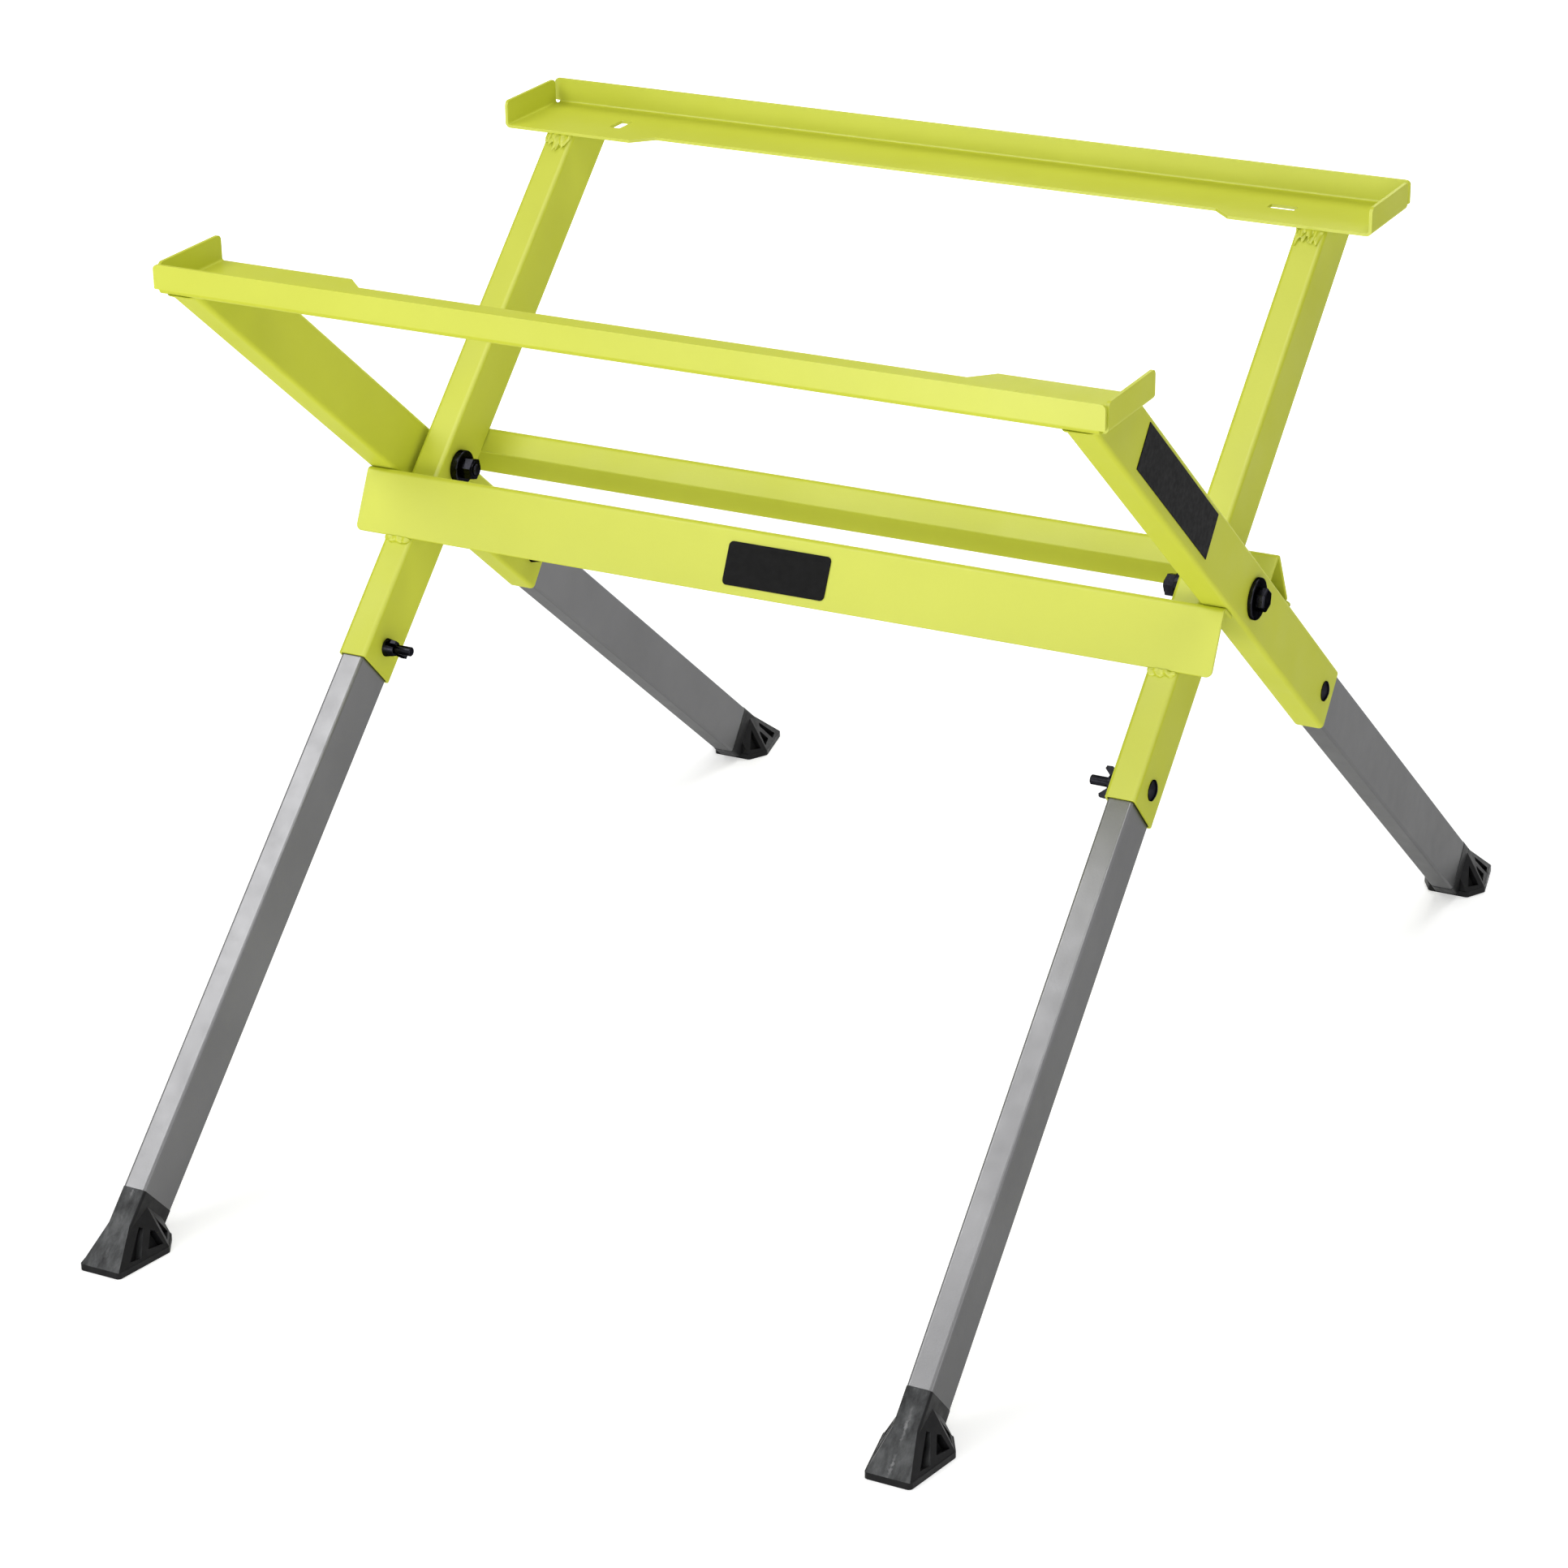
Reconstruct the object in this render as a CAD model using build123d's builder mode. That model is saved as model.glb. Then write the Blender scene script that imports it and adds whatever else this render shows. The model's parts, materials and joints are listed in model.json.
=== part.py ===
from build123d import *
from math import asin, atan, cos, degrees, hypot, radians, sin, tan
import os

os.makedirs("parts", exist_ok=True)

# A folding stand for a table saw, in millimetres: two tube frames crossed on one pivot line.
# +X is to the right, +Y to the rear and +Z up. The origin is on the floor, midway between the toes.
# The inner frame carries the rear rail and the front legs, and leans back (lean 1).
# The outer frame carries the front rail and the rear legs, and leans forward (lean -1).

# The two frames
pivot_height = 378.7
inner_angle = 46.9  # from the vertical
outer_angle = 49.95
stand_width = 596.4  # over the outer tubes
overall_height = 577.1  # to the top of the rails' lips
inner_tube_below = 149.6  # tube length below the pivot
outer_tube_below = 183.5
stop_gap = 0.3  # between a brace and the tubes that it stops

# Frame tubes
tube_width = 20.0
tube_depth = 40.0
tube_wall = 1.5
tube_corner = 3.0

# Bent sheet steel of the rails and braces
sheet = 2.0
bend_inner = 1.5
bend_outer = bend_inner + sheet

# Rails
rail_end_reach = 6.8  # beyond the outer tubes
rail_depth = 69.0  # from the lip's outer face to the free edge, at the ends
waist_depth = 56.0  # the same in the narrower middle
shoulder_length = 94.0  # full depth at each end of the rail
waist_step = 13.0  # run of the slanted step at each end of the middle
lip_height = 18.0
tab_gap = 3.0  # between an end tab and the lip
tab_corner = 3.5
lip_corner = 3.0
lip_foot_corner = 0.8
lip_relief = 3.0  # how far the lip's end stops above the flange's underside
slot_length = 18.0
slot_width = 8.0
slot_corner = 1.0
slot_inset = 70.0  # from the rail's end
slot_setback = 37.0  # from the lip's outer face
rear_rail_overhang = 6.4  # lip beyond the tube's top
front_rail_overhang = 3.5

# Cross braces
brace_end_inset = 2.2  # from the outer tubes' outer faces
front_brace_reach = 39.3  # along the stopped tube, from the pivot to the brace's bend
rear_brace_reach = 42.5
brace_face_width = 43.0  # flange that is welded to its own tubes
brace_corner = 4.0

# Legs
leg_width = 16.0
leg_depth = 36.0
leg_wall = 1.5
leg_corner = 2.0
leg_overlap = 45.0  # above the clamp bolt, inside the frame tube
leg_splay = 0.6  # slack in the frame tube lets the leg lean out this much
clamp_edge = 16.5  # from the clamp bolt to the end of the frame tube

# Feet
collar_rim = 0.3  # how far the foot's shoulder stands out past the leg that rests on it
collar_corner = 2.3
kink_drop = 30.0  # from the shoulder down to where the foot's outer face flares out
spigot_slack = 0.2
spigot_height = 26.0
spigot_wall = 2.0
sole_thickness = 4.0
sole_ledge = 0.6  # how far the sole stands out past the foot's body
sole_width = 45.4
sole_end_width = 28.8
sole_inner_reach = 14.5  # from the widest place to the inner end
sole_corner = 3.0
front_shoulder_height = 26.17  # middle of the shoulder above the floor, which sets the leg's length
rear_shoulder_height = 25.21
front_ridge_shift = 11.64  # from under the shoulder's middle out to the widest place
rear_ridge_shift = 18.17
front_toe_length = 41.7  # from the widest place to the sole's outer end
rear_toe_length = 38.7
ridge_height = 28.0
window_depth = 6.0

# Windows in the foot's sloping sides. Each point is a share of the facet's base and of its rise.
toe_window_shares = ((0.74, 0.09), (0.53, 0.06), (0.28, 0.62), (0.34, 0.70))
rib_window_shares = ((0.35, 0.16), (0.18, 0.52), (0.115, 0.46), (0.067, 0.11))
heel_window_shares = ((0.27, 0.09), (0.855, 0.12), (0.52, 0.67))

# Pivot hardware, size M8
pivot_bolt_radius = 4.0
pivot_head_flats = 13.0
pivot_head_height = 5.3
pivot_bolt_tail = 1.4  # beyond the nut
pivot_nut_height = 8.0
pivot_washer_radius = 13.0
pivot_washer_thickness = 3.0
pivot_washer_round = 0.8
bush_radius = 11.3  # thick washer inside the stand
bush_thickness = 5.0
spacer_radius = 10.0
spacer_thickness = 3.0
spacer_gap = 0.2  # between a tube and a washer that turns against it
sleeve_radius = 6.0
running_clearance = 0.08
seat_clearance = 0.05
hex_chamfer = 0.8

# Clamp hardware, size M6
clamp_bolt_radius = 3.0
clamp_hole_radius = 3.3
clamp_head_radius = 6.5
clamp_head_rim = 0.8
clamp_head_height = 2.8
clamp_neck_side = 6.0
clamp_neck_length = 1.9
clamp_hole_side = 6.4
clamp_bolt_tail = 19.0  # beyond the tube's inner face
clamp_bolt_chamfer = 0.5
wing_gap = 0.3  # between the wing nut and the tube
wing_hub_radius = 6.0
wing_hub_top_radius = 4.6
wing_hub_height = 7.0
wing_span = 20.0
wing_height = 11.5
wing_thickness = 2.4
wing_root_shares = ((0.25, 0.10), (0.62, 0.14))  # of the span's half and of the wing's height
wing_tip_shares = ((1.00, 0.62), (0.98, 0.94), (0.80, 1.00), (0.25, 0.50))

# Bare badge and label plates
name_plate_length = 70.5
name_plate_height = 27.5
name_plate_corner = 3.0
name_plate_thickness = 0.8
name_plate_shift = 5.0  # to the right of the middle
name_plate_drop = 23.8  # from the brace's bend to the plate's middle
label_length_share = 0.494  # of the tube from the pivot to the rail
label_place_share = 0.593  # of the same, up to the label's middle
label_width = 28.4
label_thickness = 0.5
label_shift = 1.7  # towards the tube's upper face

overrun = 5.0  # how far a cut runs past what it cuts

# Places across the stand
outer_tube_x = (stand_width - tube_width) / 2
tube_pitch = tube_width + spacer_thickness + 2 * spacer_gap
inner_tube_x = outer_tube_x - tube_pitch
flange_underside = overall_height - lip_height
head_seat = tube_width / 2 + pivot_washer_thickness
inner_face_reach = tube_width / 2 + spacer_gap
rail_length = stand_width + 2 * rail_end_reach
waist_length = rail_length - 2 * (shoulder_length + waist_step)
slot_spread = rail_length - 2 * slot_inset
brace_length = stand_width - 2 * brace_end_inset
SIDES = ((-1, "left"), (1, "right"))

# The foot's shoulder, and the foot's body above the sole, from its widest place
collar_width = leg_width + 2 * collar_rim
collar_depth = leg_depth + 2 * collar_rim
body_half = sole_width / 2 - sole_ledge
body_end_half = sole_end_width / 2 - sole_ledge
body_heel = sole_ledge - sole_inner_reach

# Each frame in one record: its lean, angle, tube place and tube length below the pivot
INNER = (1, inner_angle, inner_tube_x, inner_tube_below)
OUTER = (-1, outer_angle, outer_tube_x, outer_tube_below)


def leg_drop(frame):
    """Length of a leg from its clamp bolt down to the foot's shoulder."""
    lean, angle, tube_x, below = frame
    clamp_height = pivot_height - (below - clamp_edge) * cos(radians(angle))
    shoulder_height = front_shoulder_height if frame is INNER else rear_shoulder_height
    return (clamp_height - shoulder_height) / cos(radians(angle + leg_splay))


def ridge_reach(frame):
    """How far from under the pivot a foot's widest place lies."""
    lean, angle, tube_x, below = frame
    clamp_reach = (below - clamp_edge) * sin(radians(angle))
    shoulder_reach = clamp_reach + leg_drop(frame) * sin(radians(angle + leg_splay))
    return shoulder_reach + (front_ridge_shift if frame is INNER else rear_ridge_shift)


pivot_y = (ridge_reach(INNER) + front_toe_length - ridge_reach(OUTER) - rear_toe_length) / 2


def leaning_plane(origin, lean, angle):
    """Plane across a tube: Z runs up the tube, Y comes out of its upper face."""
    up = (0, lean * sin(radians(angle)), cos(radians(angle)))
    return Plane(origin=origin, x_dir=(-lean, 0, 0), z_dir=up)


def tube_plane(frame, side=0):
    """Plane across one frame's tube at the pivot, or on the stand's middle for side 0."""
    lean, angle, tube_x, below = frame
    return leaning_plane((side * tube_x, pivot_y, pivot_height), lean, angle)


def leg_plane(frame, side):
    """Plane across a leg at its clamp bolt, about which the leg leans out."""
    lean, angle, tube_x, below = frame
    clamp = tube_plane(frame, side).offset(clamp_edge - below)
    return leaning_plane(clamp.origin, lean, angle + leg_splay)


def across(plane, side):
    """Plane on a tube's middle, facing out of the stand, with X up the tube."""
    return Plane(origin=plane.origin, x_dir=plane.z_dir, z_dir=(side, 0, 0))


def save(piece, name):
    """Name a finished piece and write its file."""
    piece.part.label = name
    export_step(piece.part, f"parts/{name}.step")


# Rails


def rail(seat):
    """Bent rail. The seat's origin is under the lip's outer face, its Y points out past the lip."""
    half = rail_length / 2
    tab_start = sheet + tab_gap
    with BuildPart() as piece:
        with BuildSketch(Plane(seat * Plane.YZ)) as profile:
            with BuildLine():
                Polyline(
                    (0, 0),
                    (0, lip_height),
                    (-sheet, lip_height),
                    (-sheet, sheet),
                    (-rail_depth, sheet),
                    (-rail_depth, 0),
                    close=True,
                )
            make_face()
            fillet(profile.vertices().sort_by_distance((0, 0))[0], bend_outer)
            fillet(profile.vertices().sort_by_distance((-sheet, sheet))[0], bend_inner)
        extrude(amount=half, both=True)
        # The free edge steps back in the middle
        with BuildSketch(seat):
            with BuildLine():
                Polyline(
                    (-waist_length / 2 - waist_step, -rail_depth),
                    (-waist_length / 2, -waist_depth),
                    (waist_length / 2, -waist_depth),
                    (waist_length / 2 + waist_step, -rail_depth),
                    close=True,
                )
            make_face()
        extrude(amount=sheet, mode=Mode.SUBTRACT)
        # The flange ends at the tabs' bends, and the lip's ends stop short above it
        with BuildSketch(seat):
            with Locations((-half, -rail_depth / 2), (half, -rail_depth / 2)):
                Rectangle(2 * bend_outer, rail_depth + 2 * overrun)
        extrude(amount=lip_relief, mode=Mode.SUBTRACT)
        for end in (-1, 1):
            with BuildSketch(Plane(seat * Plane.XZ.offset(tab_start))) as tab:
                with BuildLine():
                    Polyline(
                        (end * (half - 2 * bend_outer), 0),
                        (end * half, 0),
                        (end * half, lip_height),
                        (end * (half - sheet), lip_height),
                        (end * (half - sheet), sheet),
                        (end * (half - 2 * bend_outer), sheet),
                        close=True,
                    )
                make_face()
                fillet(tab.vertices().sort_by_distance((end * half, 0))[0], bend_outer)
                fillet(tab.vertices().sort_by_distance((end * (half - sheet), sheet))[0], bend_inner)
            extrude(amount=rail_depth - tab_start)
        # Rounded corners of the tabs and of the lip's ends
        tab_edges = piece.edges().filter_by(Axis.X).group_by(Axis.Z)[-1]
        fillet(tab_edges.filter_by(lambda edge: edge.length < 2 * sheet), tab_corner)
        for level, corner in ((-1, lip_corner), (0, lip_foot_corner)):
            lip_edges = piece.edges().filter_by(Axis.Y).filter_by(lambda edge: edge.length < 2 * sheet)
            lip_columns = lip_edges.group_by(Axis.X)
            lip_ends = lip_columns[0] + lip_columns[-1]
            fillet(lip_ends.group_by(Axis.Z)[level], corner)
        # One slot runs with the rail and the other runs across it
        with BuildSketch(seat):
            with Locations((slot_spread / 2, -slot_setback)):
                RectangleRounded(slot_length, slot_width, slot_corner)
            with Locations((-slot_spread / 2, -slot_setback)):
                RectangleRounded(slot_width, slot_length, slot_corner)
        extrude(amount=sheet, mode=Mode.SUBTRACT)
    return piece


def tube_top_reach(frame):
    """How far from the pivot line the far edge of a frame's cut tube top lies."""
    lean, angle, tube_x, below = frame
    rise = flange_underside - pivot_height
    return rise * tan(radians(angle)) + tube_depth / 2 / cos(radians(angle))


rear_lip_y = pivot_y + tube_top_reach(INNER) + rear_rail_overhang
rear_rail = rail(Plane(origin=(0, rear_lip_y, flange_underside), x_dir=(1, 0, 0), z_dir=(0, 0, 1)))
save(rear_rail, "rear_rail")

front_lip_y = pivot_y - tube_top_reach(OUTER) - front_rail_overhang
front_rail = rail(Plane(origin=(0, front_lip_y, flange_underside), x_dir=(-1, 0, 0), z_dir=(0, 0, 1)))
save(front_rail, "front_rail")


# Frame tubes and their pivot sleeves


def frame_tube(frame, side):
    """Rectangular tube, cut level under the rail, with its sleeve hole and clamp holes."""
    lean, angle, tube_x, below = frame
    plane = tube_plane(frame, side)
    reach = (flange_underside - pivot_height) / cos(radians(angle)) + tube_depth
    with BuildPart() as piece:
        with BuildSketch(plane.offset(-below)):
            RectangleRounded(tube_width, tube_depth, tube_corner)
            RectangleRounded(
                tube_width - 2 * tube_wall,
                tube_depth - 2 * tube_wall,
                tube_corner - tube_wall,
                mode=Mode.SUBTRACT,
            )
        extrude(amount=below + reach)
        split(bisect_by=Plane.XY.offset(flange_underside), keep=Keep.BOTTOM)
        with BuildSketch(across(plane, side)):
            Circle(sleeve_radius + seat_clearance)
        extrude(amount=tube_width, both=True, mode=Mode.SUBTRACT)
        # Round hole inside the stand, square hole outside for the carriage bolt's neck
        clamp = across(plane.offset(clamp_edge - below), side)
        with BuildSketch(clamp):
            Circle(clamp_hole_radius)
        extrude(amount=-tube_width, mode=Mode.SUBTRACT)
        with BuildSketch(clamp):
            Rectangle(clamp_hole_side, clamp_hole_side)
        extrude(amount=tube_width, mode=Mode.SUBTRACT)
    return piece


def pivot_sleeve(frame, side):
    """Steel sleeve through a tube, so that the pivot bolt can't crush its walls."""
    with BuildPart() as piece:
        with BuildSketch(across(tube_plane(frame, side), side)):
            Circle(sleeve_radius)
            Circle(pivot_bolt_radius + running_clearance, mode=Mode.SUBTRACT)
        extrude(amount=tube_width / 2, both=True)
    return piece


for side, hand in SIDES:
    save(frame_tube(INNER, side), f"inner_tube_{hand}")
    save(frame_tube(OUTER, side), f"outer_tube_{hand}")
    save(pivot_sleeve(INNER, side), f"inner_sleeve_{hand}")
    save(pivot_sleeve(OUTER, side), f"outer_sleeve_{hand}")


# Cross braces


def brace_bend_plane(frame, other):
    """Section plane at a brace's bend: X runs under the stopped tube towards the pivot."""
    stopped = tube_plane(other)
    reach = front_brace_reach if frame is INNER else rear_brace_reach
    bend = stopped.from_local_coords((0, -tube_depth / 2 - stop_gap, reach))
    return Plane(origin=bend, x_dir=-stopped.z_dir, z_dir=(frame[0], 0, 0))


def brace_bend_height(frame, other):
    """How high a brace's bend stands over the upper faces of its own tubes."""
    bend = tube_plane(frame).to_local_coords(brace_bend_plane(frame, other).origin)
    return bend.Y - tube_depth / 2


def brace_turn(frame, other):
    """Angle between a brace's flanges that brings its face's lower edge onto its own tubes."""
    height = brace_bend_height(frame, other)
    slant = asin(height / hypot(brace_face_width, sheet)) - atan(sheet / brace_face_width)
    return inner_angle + outer_angle - degrees(slant)


def brace_stop_width(frame, other):
    """Width of the flange under the stopped tubes, whose free edge meets the brace's own tubes."""
    scissor = radians(inner_angle + outer_angle)
    return (brace_bend_height(frame, other) + sheet * cos(scissor)) / sin(scissor)


def brace(frame, other):
    """Bent brace of one frame. Its short flange stops the other frame's tubes from opening."""
    section = brace_bend_plane(frame, other)
    turn = radians(brace_turn(frame, other))
    stop_width = brace_stop_width(frame, other)
    face_edge = Vector(cos(turn), -sin(turn)) * brace_face_width
    face_in = Vector(sin(turn), cos(turn)) * sheet
    inner_bend = Vector(sheet / tan(turn / 2), -sheet)
    with BuildPart() as piece:
        with BuildSketch(section) as profile:
            with BuildLine():
                Polyline(
                    (0, 0),
                    (stop_width, 0),
                    (stop_width, -sheet),
                    (inner_bend.X, inner_bend.Y),
                    (face_edge.X + face_in.X, face_edge.Y + face_in.Y),
                    (face_edge.X, face_edge.Y),
                    close=True,
                )
            make_face()
            fillet(profile.vertices().sort_by_distance((0, 0))[0], bend_outer)
            fillet(profile.vertices().sort_by_distance((inner_bend.X, inner_bend.Y))[0], bend_inner)
        extrude(amount=brace_length / 2, both=True)
        ends = piece.edges().filter_by(lambda edge: abs(edge.length - sheet) < seat_clearance)
        fillet(ends.group_by(Axis.Z)[0], brace_corner)
    return piece


front_brace = brace(INNER, OUTER)
save(front_brace, "front_brace")
rear_brace = brace(OUTER, INNER)
save(rear_brace, "rear_brace")


# Legs


def leg(frame, side):
    """Rectangular leg tube, from inside the frame tube down into the foot."""
    plane = leg_plane(frame, side)
    drop = leg_drop(frame)
    with BuildPart() as piece:
        with BuildSketch(plane.offset(-drop)):
            RectangleRounded(leg_width, leg_depth, leg_corner)
            RectangleRounded(
                leg_width - 2 * leg_wall,
                leg_depth - 2 * leg_wall,
                leg_corner - leg_wall,
                mode=Mode.SUBTRACT,
            )
        extrude(amount=drop + leg_overlap)
        with BuildSketch(across(plane, side)):
            Circle(clamp_hole_radius)
        extrude(amount=leg_width, both=True, mode=Mode.SUBTRACT)
    return piece


# Feet


def foot_facet(ground, side, reach):
    """Plane of a sloping side, from the widest place to the body's outer or inner end."""
    wide = ground.from_local_coords((0, side * body_half, sole_thickness))
    tip = ground.from_local_coords((reach, side * body_end_half, sole_thickness))
    apex = ground.from_local_coords((0, side * collar_width / 2, ridge_height))
    return Plane(origin=wide, x_dir=tip - wide, z_dir=(tip - wide).cross(apex - wide))


def window_outline(ground, side, reach, shares):
    """Corners of a window, from shares of a sloping side's base and of its rise."""
    base = hypot(reach, body_half - body_end_half)
    apex = ground.from_local_coords((0, side * collar_width / 2, ridge_height))
    rise = foot_facet(ground, side, reach).to_local_coords(apex).Y
    return [(base * along, rise * up) for along, up in shares]


def foot(frame, side, toe_length):
    """Moulded foot: a shoulder under the leg's end, sloping sides with windows, and a flat sole."""
    lean, angle, tube_x, below = frame
    ground = Plane(
        origin=(side * tube_x, pivot_y - lean * ridge_reach(frame), 0), x_dir=(0, -lean, 0), z_dir=(0, 0, 1)
    )
    body_toe = toe_length - sole_ledge
    shoulder = leg_plane(frame, side).offset(-leg_drop(frame))
    toe_edge = ground.from_local_coords((body_toe, 0, sole_thickness))
    kink = shoulder.from_local_coords((0, collar_depth / 2, -kink_drop))
    flare = Plane(origin=toe_edge, x_dir=(1, 0, 0), z_dir=(kink - toe_edge).cross(Vector(-lean, 0, 0)))
    spigot_width = leg_width - 2 * (leg_wall + spigot_slack)
    spigot_depth = leg_depth - 2 * (leg_wall + spigot_slack)
    with BuildPart() as piece:
        with BuildSketch(ground.offset(sole_thickness)):
            with BuildLine():
                Polyline(
                    (body_heel, body_end_half),
                    (0, body_half),
                    (body_toe, body_end_half),
                    (body_toe, -body_end_half),
                    (0, -body_half),
                    (body_heel, -body_end_half),
                    close=True,
                )
            make_face()
        extrude(amount=2 * ridge_height)
        for flank in (-1, 1):
            for reach in (body_heel, body_toe):
                inward = Keep.TOP if flank * reach > 0 else Keep.BOTTOM
                split(bisect_by=foot_facet(ground, flank, reach), keep=inward)
        split(bisect_by=flare, keep=Keep.BOTTOM)
        with BuildSketch(shoulder):
            RectangleRounded(collar_width, collar_depth, collar_corner)
        extrude(amount=-2 * collar_depth)
        split(bisect_by=ground.offset(sole_thickness), keep=Keep.TOP)
        split(bisect_by=shoulder, keep=Keep.BOTTOM)
        with BuildSketch(ground) as sole:
            with BuildLine():
                Polyline(
                    (-sole_inner_reach, sole_end_width / 2),
                    (0, sole_width / 2),
                    (toe_length, sole_end_width / 2),
                    (toe_length, -sole_end_width / 2),
                    (0, -sole_width / 2),
                    (-sole_inner_reach, -sole_end_width / 2),
                    close=True,
                )
            make_face()
            fillet(sole.vertices(), sole_corner)
        extrude(amount=sole_thickness)
        # Hollow spigot that fills the leg's bore
        with BuildSketch(shoulder):
            Rectangle(spigot_width, spigot_depth)
            Rectangle(spigot_width - 2 * spigot_wall, spigot_depth - 2 * spigot_wall, mode=Mode.SUBTRACT)
        extrude(amount=spigot_height)
        for flank in (-1, 1):
            for reach, shares in (
                (body_toe, toe_window_shares),
                (body_toe, rib_window_shares),
                (body_heel, heel_window_shares),
            ):
                with BuildSketch(foot_facet(ground, flank, reach)):
                    with BuildLine():
                        Polyline(*window_outline(ground, flank, reach, shares), close=True)
                    make_face()
                extrude(amount=window_depth, both=True, mode=Mode.SUBTRACT)
    return piece


# Clamp bolts and wing nuts


def clamp_bolt(frame, side):
    """Carriage bolt through the frame tube and the leg, its head outside."""
    lean, angle, tube_x, below = frame
    middle = across(tube_plane(frame, side).offset(clamp_edge - below), side)
    outside = middle.offset(tube_width / 2)
    with BuildPart() as piece:
        with BuildSketch(Plane(outside * Plane.XZ)):
            with BuildLine():
                Line((0, 0), (clamp_head_radius, 0))
                Line((clamp_head_radius, 0), (clamp_head_radius, clamp_head_rim))
                crown = Vector(0, clamp_head_height)
                rim = Vector(clamp_head_radius, clamp_head_rim)
                TangentArc(crown, rim, tangent=(1, 0))
                Line((0, clamp_head_height), (0, 0))
            make_face()
        revolve(axis=Axis(outside.origin, outside.z_dir))
        with BuildSketch(outside):
            Rectangle(clamp_neck_side, clamp_neck_side)
        extrude(amount=-clamp_neck_length)
        with BuildSketch(outside):
            Circle(clamp_bolt_radius)
        extrude(amount=-tube_width - clamp_bolt_tail)
        chamfer(piece.edges().group_by(Axis.X)[0 if side > 0 else -1], clamp_bolt_chamfer)
    return piece


def wing_nut(frame, side, wing_turn):
    """Wing nut inside the stand. Its wings are turned from the tube's direction by an angle."""
    lean, angle, tube_x, below = frame
    middle = across(tube_plane(frame, side).offset(clamp_edge - below), side)
    face = Plane(
        origin=middle.offset(-tube_width / 2 - wing_gap).origin,
        x_dir=middle.x_dir.rotate(Axis.X, wing_turn),
        z_dir=(-side, 0, 0),
    )
    with BuildPart() as piece:
        with BuildSketch(face):
            Circle(wing_hub_radius)
        with BuildSketch(face.offset(wing_hub_height)):
            Circle(wing_hub_top_radius)
        loft()
        for wing in (-1, 1):
            with BuildSketch(Plane(face * Plane.XZ)):
                with BuildLine():
                    Polyline(*[(wing * wing_span / 2 * out_share, wing_height * up_share)
                               for out_share, up_share in wing_root_shares + wing_tip_shares], close=True)
                make_face()
            extrude(amount=wing_thickness / 2, both=True)
        with BuildSketch(face):
            Circle(clamp_bolt_radius + running_clearance)
        extrude(amount=wing_height, mode=Mode.SUBTRACT)
    return piece


WING_TURNS = {"front_left": 87.0, "front_right": 7.0, "rear_left": 20.0, "rear_right": -35.0}

for end_name, frame, toe_length in (
    ("front", INNER, front_toe_length),
    ("rear", OUTER, rear_toe_length),
):
    for side, hand in SIDES:
        save(leg(frame, side), f"{end_name}_leg_{hand}")
        save(foot(frame, side, toe_length), f"{end_name}_foot_{hand}")
        save(clamp_bolt(frame, side), f"{end_name}_clamp_bolt_{hand}")
        wing_turn = WING_TURNS[f"{end_name}_{hand}"]
        save(wing_nut(frame, side, wing_turn), f"{end_name}_wing_nut_{hand}")


# Pivot hardware


def washer(face, radius, thickness, rounding):
    """Round washer that stands on a plane."""
    with BuildPart() as piece:
        with BuildSketch(face):
            Circle(radius)
            Circle(pivot_bolt_radius + running_clearance, mode=Mode.SUBTRACT)
        extrude(amount=thickness)
        rims = piece.edges().filter_by(GeomType.CIRCLE).filter_by(lambda edge: edge.radius > radius / 2)
        fillet(rims, rounding)
    return piece


def pivot_bolt(outside, length):
    """Hexagon bolt whose head seats on a plane, with its shank going in."""
    with BuildPart() as piece:
        with BuildSketch(outside):
            RegularPolygon(pivot_head_flats / 2, 6, major_radius=False)
        extrude(amount=pivot_head_height)
        with BuildSketch(outside):
            Circle(pivot_bolt_radius)
        extrude(amount=-length)
        ends = piece.edges().group_by(Axis.X)
        chamfer(ends[0], hex_chamfer)
        chamfer(piece.edges().group_by(Axis.X)[-1], hex_chamfer)
    return piece


def pivot_nut(face):
    """Lock nut: a hexagon with a round collar at its outer end."""
    with BuildPart() as piece:
        with BuildSketch(face):
            RegularPolygon(pivot_head_flats / 2, 6, major_radius=False)
        extrude(amount=pivot_nut_height - hex_chamfer)
        with BuildSketch(face.offset(pivot_nut_height - hex_chamfer)):
            Circle(pivot_head_flats / 2 - hex_chamfer)
        extrude(amount=hex_chamfer)
        with BuildSketch(face):
            Circle(pivot_bolt_radius + seat_clearance)
        extrude(amount=pivot_nut_height, mode=Mode.SUBTRACT)
    return piece


for side, hand in SIDES:
    outer_middle = across(tube_plane(OUTER, side), side)
    inner_middle = across(tube_plane(INNER, side), side)
    facing_in = Plane(
        origin=inner_middle.offset(-inner_face_reach).origin,
        x_dir=inner_middle.x_dir,
        z_dir=-inner_middle.z_dir,
    )
    grip = head_seat + tube_pitch + inner_face_reach + bush_thickness
    bolt_length = grip + pivot_nut_height + pivot_bolt_tail
    outer_face = outer_middle.offset(tube_width / 2)
    spacer_face = inner_middle.offset(inner_face_reach)
    save(washer(outer_face, pivot_washer_radius, pivot_washer_thickness, pivot_washer_round),
         f"pivot_outer_washer_{hand}")
    save(washer(spacer_face, spacer_radius, spacer_thickness, pivot_washer_round), f"pivot_spacer_{hand}")
    save(washer(facing_in, bush_radius, bush_thickness, pivot_washer_round), f"pivot_inner_washer_{hand}")
    save(pivot_bolt(outer_middle.offset(head_seat), bolt_length), f"pivot_bolt_{hand}")
    save(pivot_nut(facing_in.offset(bush_thickness)), f"pivot_nut_{hand}")


# Bare plates where the badge and the label were

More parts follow.
